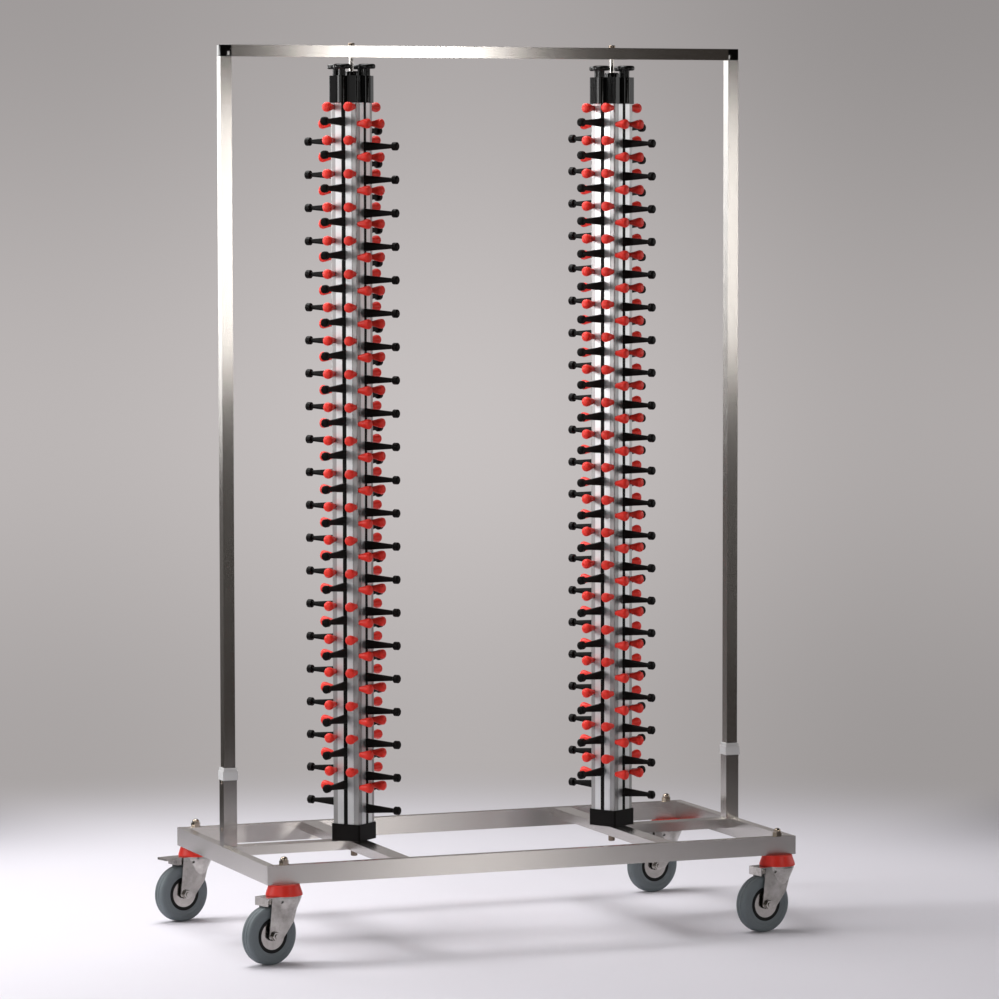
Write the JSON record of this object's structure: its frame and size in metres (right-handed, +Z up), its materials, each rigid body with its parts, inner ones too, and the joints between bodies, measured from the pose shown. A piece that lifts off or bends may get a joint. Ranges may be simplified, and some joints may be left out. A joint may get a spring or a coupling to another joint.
{
  "type": "mobile plate rack",
  "caption": "Mobile plate rack on casters: a tube frame with turning columns whose pegs and height-adjustable arms hold plates by the rim.",
  "frame": {"origin": "on the floor, under the middle of the base frame", "axes": "+X along the base frame's long side to the right, +Y to the back, +Z up"},
  "size_m": [1.2809, 0.6977, 1.939],
  "materials": {
    "stainless_tube": "brushed",
    "zinc_steel": "satin",
    "steel_fasteners": "polished",
    "anodised_aluminium": "satin",
    "black_plastic": "semi-gloss",
    "red_plastic": "semi-gloss",
    "red_ring_plastic": "satin",
    "white_plastic": "translucent satin",
    "grey_rubber": "matte"
  },
  "bodies": {
    "base": {"long_rails": "stainless_tube", "end_rails": "stainless_tube", "cross_rails": "stainless_tube", "spine_rails": "stainless_tube", "post_sockets": "stainless_tube", "socket_collars": "white_plastic", "posts": "stainless_tube", "top_beam": "stainless_tube", "corner_connectors": "black_plastic", "socket_screws": "steel_fasteners", "caster_nuts": "steel_fasteners", "column_rods": "steel_fasteners", "rod_nuts": "steel_fasteners", "swivel_rings": "red_ring_plastic", "caster_stems": "steel_fasteners"},
    "left_column": {"left_extrusion": "anodised_aluminium", "left_base_block": "black_plastic", "left_top_cap": "black_plastic", "left_pegs": "red_plastic"},
    "left_front_right_rail": {"left_front_right_arm_rail": "black_plastic"},
    "left_front_right_knob": {"left_front_right_knob": "black_plastic"},
    "left_back_right_rail": {"left_back_right_arm_rail": "black_plastic"},
    "left_back_right_knob": {"left_back_right_knob": "black_plastic"},
    "left_back_left_rail": {"left_back_left_arm_rail": "black_plastic"},
    "left_back_left_knob": {"left_back_left_knob": "black_plastic"},
    "left_front_left_rail": {"left_front_left_arm_rail": "black_plastic"},
    "left_front_left_knob": {"left_front_left_knob": "black_plastic"},
    "right_column": {"right_extrusion": "anodised_aluminium", "right_base_block": "black_plastic", "right_top_cap": "black_plastic", "right_pegs": "red_plastic"},
    "right_front_right_rail": {"right_front_right_arm_rail": "black_plastic"},
    "right_front_right_knob": {"right_front_right_knob": "black_plastic"},
    "right_back_right_rail": {"right_back_right_arm_rail": "black_plastic"},
    "right_back_right_knob": {"right_back_right_knob": "black_plastic"},
    "right_back_left_rail": {"right_back_left_arm_rail": "black_plastic"},
    "right_back_left_knob": {"right_back_left_knob": "black_plastic"},
    "right_front_left_rail": {"right_front_left_arm_rail": "black_plastic"},
    "right_front_left_knob": {"right_front_left_knob": "black_plastic"},
    "front_left_caster": {"front_left_fork": "zinc_steel"},
    "front_left_wheel": {"front_left_tyre": "grey_rubber", "front_left_rim": "black_plastic", "front_left_hub_discs": "zinc_steel"},
    "back_left_caster": {"back_left_fork": "zinc_steel"},
    "back_left_wheel": {"back_left_tyre": "grey_rubber", "back_left_rim": "black_plastic", "back_left_hub_discs": "zinc_steel"},
    "back_left_brake": {"back_left_brake_pedal": "zinc_steel"},
    "front_right_caster": {"front_right_fork": "zinc_steel"},
    "front_right_wheel": {"front_right_tyre": "grey_rubber", "front_right_rim": "black_plastic", "front_right_hub_discs": "zinc_steel"},
    "back_right_caster": {"back_right_fork": "zinc_steel"},
    "back_right_wheel": {"back_right_tyre": "grey_rubber", "back_right_rim": "black_plastic", "back_right_hub_discs": "zinc_steel"},
    "back_right_brake": {"back_right_brake_pedal": "zinc_steel"}
  },
  "joints": [
    {"name": "left_column_turn", "type": "hinge", "parent": "base", "child": "left_column", "pos_m": [-0.305, 0, 1], "axis": [0, 0, 1], "continuous": true},
    {"name": "left_front_right_rail_lift", "type": "slide", "parent": "left_column", "child": "left_front_right_rail", "axis": [0, 0, 1], "range_m": [-0.004, 0.022]},
    {"name": "left_front_right_knob_turn", "type": "hinge", "parent": "left_column", "child": "left_front_right_knob", "pos_m": [-0.28046, -0.03031, 1.88], "axis": [0, 0, 1], "range_deg": [-1982, 362]},
    {"name": "left_back_right_rail_lift", "type": "slide", "parent": "left_column", "child": "left_back_right_rail", "axis": [0, 0, 1], "range_m": [-0.0025, 0.0235]},
    {"name": "left_back_right_knob_turn", "type": "hinge", "parent": "left_column", "child": "left_back_right_knob", "pos_m": [-0.27469, 0.02454, 1.88], "axis": [0, 0, 1], "range_deg": [-2117, 227]},
    {"name": "left_back_left_rail_lift", "type": "slide", "parent": "left_column", "child": "left_back_left_rail", "axis": [0, 0, 1], "range_m": [-0.015, 0.011]},
    {"name": "left_back_left_knob_turn", "type": "hinge", "parent": "left_column", "child": "left_back_left_knob", "pos_m": [-0.32954, 0.03031, 1.88], "axis": [0, 0, 1], "range_deg": [-992, 1352]},
    {"name": "left_front_left_rail_lift", "type": "slide", "parent": "left_column", "child": "left_front_left_rail", "axis": [0, 0, 1], "range_m": [-0.022, 0.004]},
    {"name": "left_front_left_knob_turn", "type": "hinge", "parent": "left_column", "child": "left_front_left_knob", "pos_m": [-0.33531, -0.02454, 1.88], "axis": [0, 0, 1], "range_deg": [-362, 1982]},
    {"name": "right_column_turn", "type": "hinge", "parent": "base", "child": "right_column", "pos_m": [0.305, 0, 1], "axis": [0, 0, 1], "continuous": true},
    {"name": "right_front_right_rail_lift", "type": "slide", "parent": "right_column", "child": "right_front_right_rail", "axis": [0, 0, 1], "range_m": [-0.0105, 0.0155]},
    {"name": "right_front_right_knob_turn", "type": "hinge", "parent": "right_column", "child": "right_front_right_knob", "pos_m": [0.32462, -0.03371, 1.88], "axis": [0, 0, 1], "range_deg": [-1397, 947]},
    {"name": "right_back_right_rail_lift", "type": "slide", "parent": "right_column", "child": "right_back_right_rail", "axis": [0, 0, 1], "range_m": [-0.0105, 0.0155]},
    {"name": "right_back_right_knob_turn", "type": "hinge", "parent": "right_column", "child": "right_back_right_knob", "pos_m": [0.33871, 0.01962, 1.88], "axis": [0, 0, 1], "range_deg": [-1397, 947]},
    {"name": "right_back_left_rail_lift", "type": "slide", "parent": "right_column", "child": "right_back_left_rail", "axis": [0, 0, 1], "range_m": [-0.022, 0.004]},
    {"name": "right_back_left_knob_turn", "type": "hinge", "parent": "right_column", "child": "right_back_left_knob", "pos_m": [0.28538, 0.03371, 1.88], "axis": [0, 0, 1], "range_deg": [-362, 1982]},
    {"name": "right_front_left_rail_lift", "type": "slide", "parent": "right_column", "child": "right_front_left_rail", "axis": [0, 0, 1], "range_m": [-0.021, 0.005]},
    {"name": "right_front_left_knob_turn", "type": "hinge", "parent": "right_column", "child": "right_front_left_knob", "pos_m": [0.27129, -0.01962, 1.88], "axis": [0, 0, 1], "range_deg": [-452, 1892]},
    {"name": "front_left_swivel", "type": "hinge", "parent": "base", "child": "front_left_caster", "pos_m": [-0.57, -0.307, 0.15], "axis": [0, 0, 1], "continuous": true},
    {"name": "front_left_wheel_spin", "type": "hinge", "parent": "front_left_caster", "child": "front_left_wheel", "pos_m": [-0.60804, -0.31936, 0.0625], "axis": [0.309, -0.9511, 0], "continuous": true},
    {"name": "back_left_swivel", "type": "hinge", "parent": "base", "child": "back_left_caster", "pos_m": [-0.57, 0.307, 0.15], "axis": [0, 0, 1], "continuous": true},
    {"name": "back_left_wheel_spin", "type": "hinge", "parent": "back_left_caster", "child": "back_left_wheel", "pos_m": [-0.60845, 0.29597, 0.0625], "axis": [0.2756, -0.9613, 0], "continuous": true},
    {"name": "back_left_brake_press", "type": "hinge", "parent": "back_left_caster", "child": "back_left_brake", "pos_m": [-0.60845, 0.29597, 0.134], "axis": [0.2756, -0.9613, 0], "range_deg": [0, 12]},
    {"name": "front_right_swivel", "type": "hinge", "parent": "base", "child": "front_right_caster", "pos_m": [0.57, -0.307, 0.15], "axis": [0, 0, 1], "continuous": true},
    {"name": "front_right_wheel_spin", "type": "hinge", "parent": "front_right_caster", "child": "front_right_wheel", "pos_m": [0.53087, -0.31532, 0.0625], "axis": [0.2079, -0.9781, 0], "continuous": true},
    {"name": "back_right_swivel", "type": "hinge", "parent": "base", "child": "back_right_caster", "pos_m": [0.57, 0.307, 0.15], "axis": [0, 0, 1], "continuous": true},
    {"name": "back_right_wheel_spin", "type": "hinge", "parent": "back_right_caster", "child": "back_right_wheel", "pos_m": [0.53087, 0.29868, 0.0625], "axis": [0.2079, -0.9781, 0], "continuous": true},
    {"name": "back_right_brake_press", "type": "hinge", "parent": "back_right_caster", "child": "back_right_brake", "pos_m": [0.53087, 0.29868, 0.134], "axis": [0.2079, -0.9781, 0], "range_deg": [0, 12]}
  ],
  "couplings": [
    {"joint": "left_front_right_knob_turn", "follows": "left_front_right_rail_lift", "rad_per_m": -1570.8},
    {"joint": "left_back_right_knob_turn", "follows": "left_back_right_rail_lift", "rad_per_m": -1570.8},
    {"joint": "left_back_left_knob_turn", "follows": "left_back_left_rail_lift", "rad_per_m": -1570.8},
    {"joint": "left_front_left_knob_turn", "follows": "left_front_left_rail_lift", "rad_per_m": -1570.8},
    {"joint": "right_front_right_knob_turn", "follows": "right_front_right_rail_lift", "rad_per_m": -1570.8},
    {"joint": "right_back_right_knob_turn", "follows": "right_back_right_rail_lift", "rad_per_m": -1570.8},
    {"joint": "right_back_left_knob_turn", "follows": "right_back_left_rail_lift", "rad_per_m": -1570.8},
    {"joint": "right_front_left_knob_turn", "follows": "right_front_left_rail_lift", "rad_per_m": -1570.8}
  ]
}
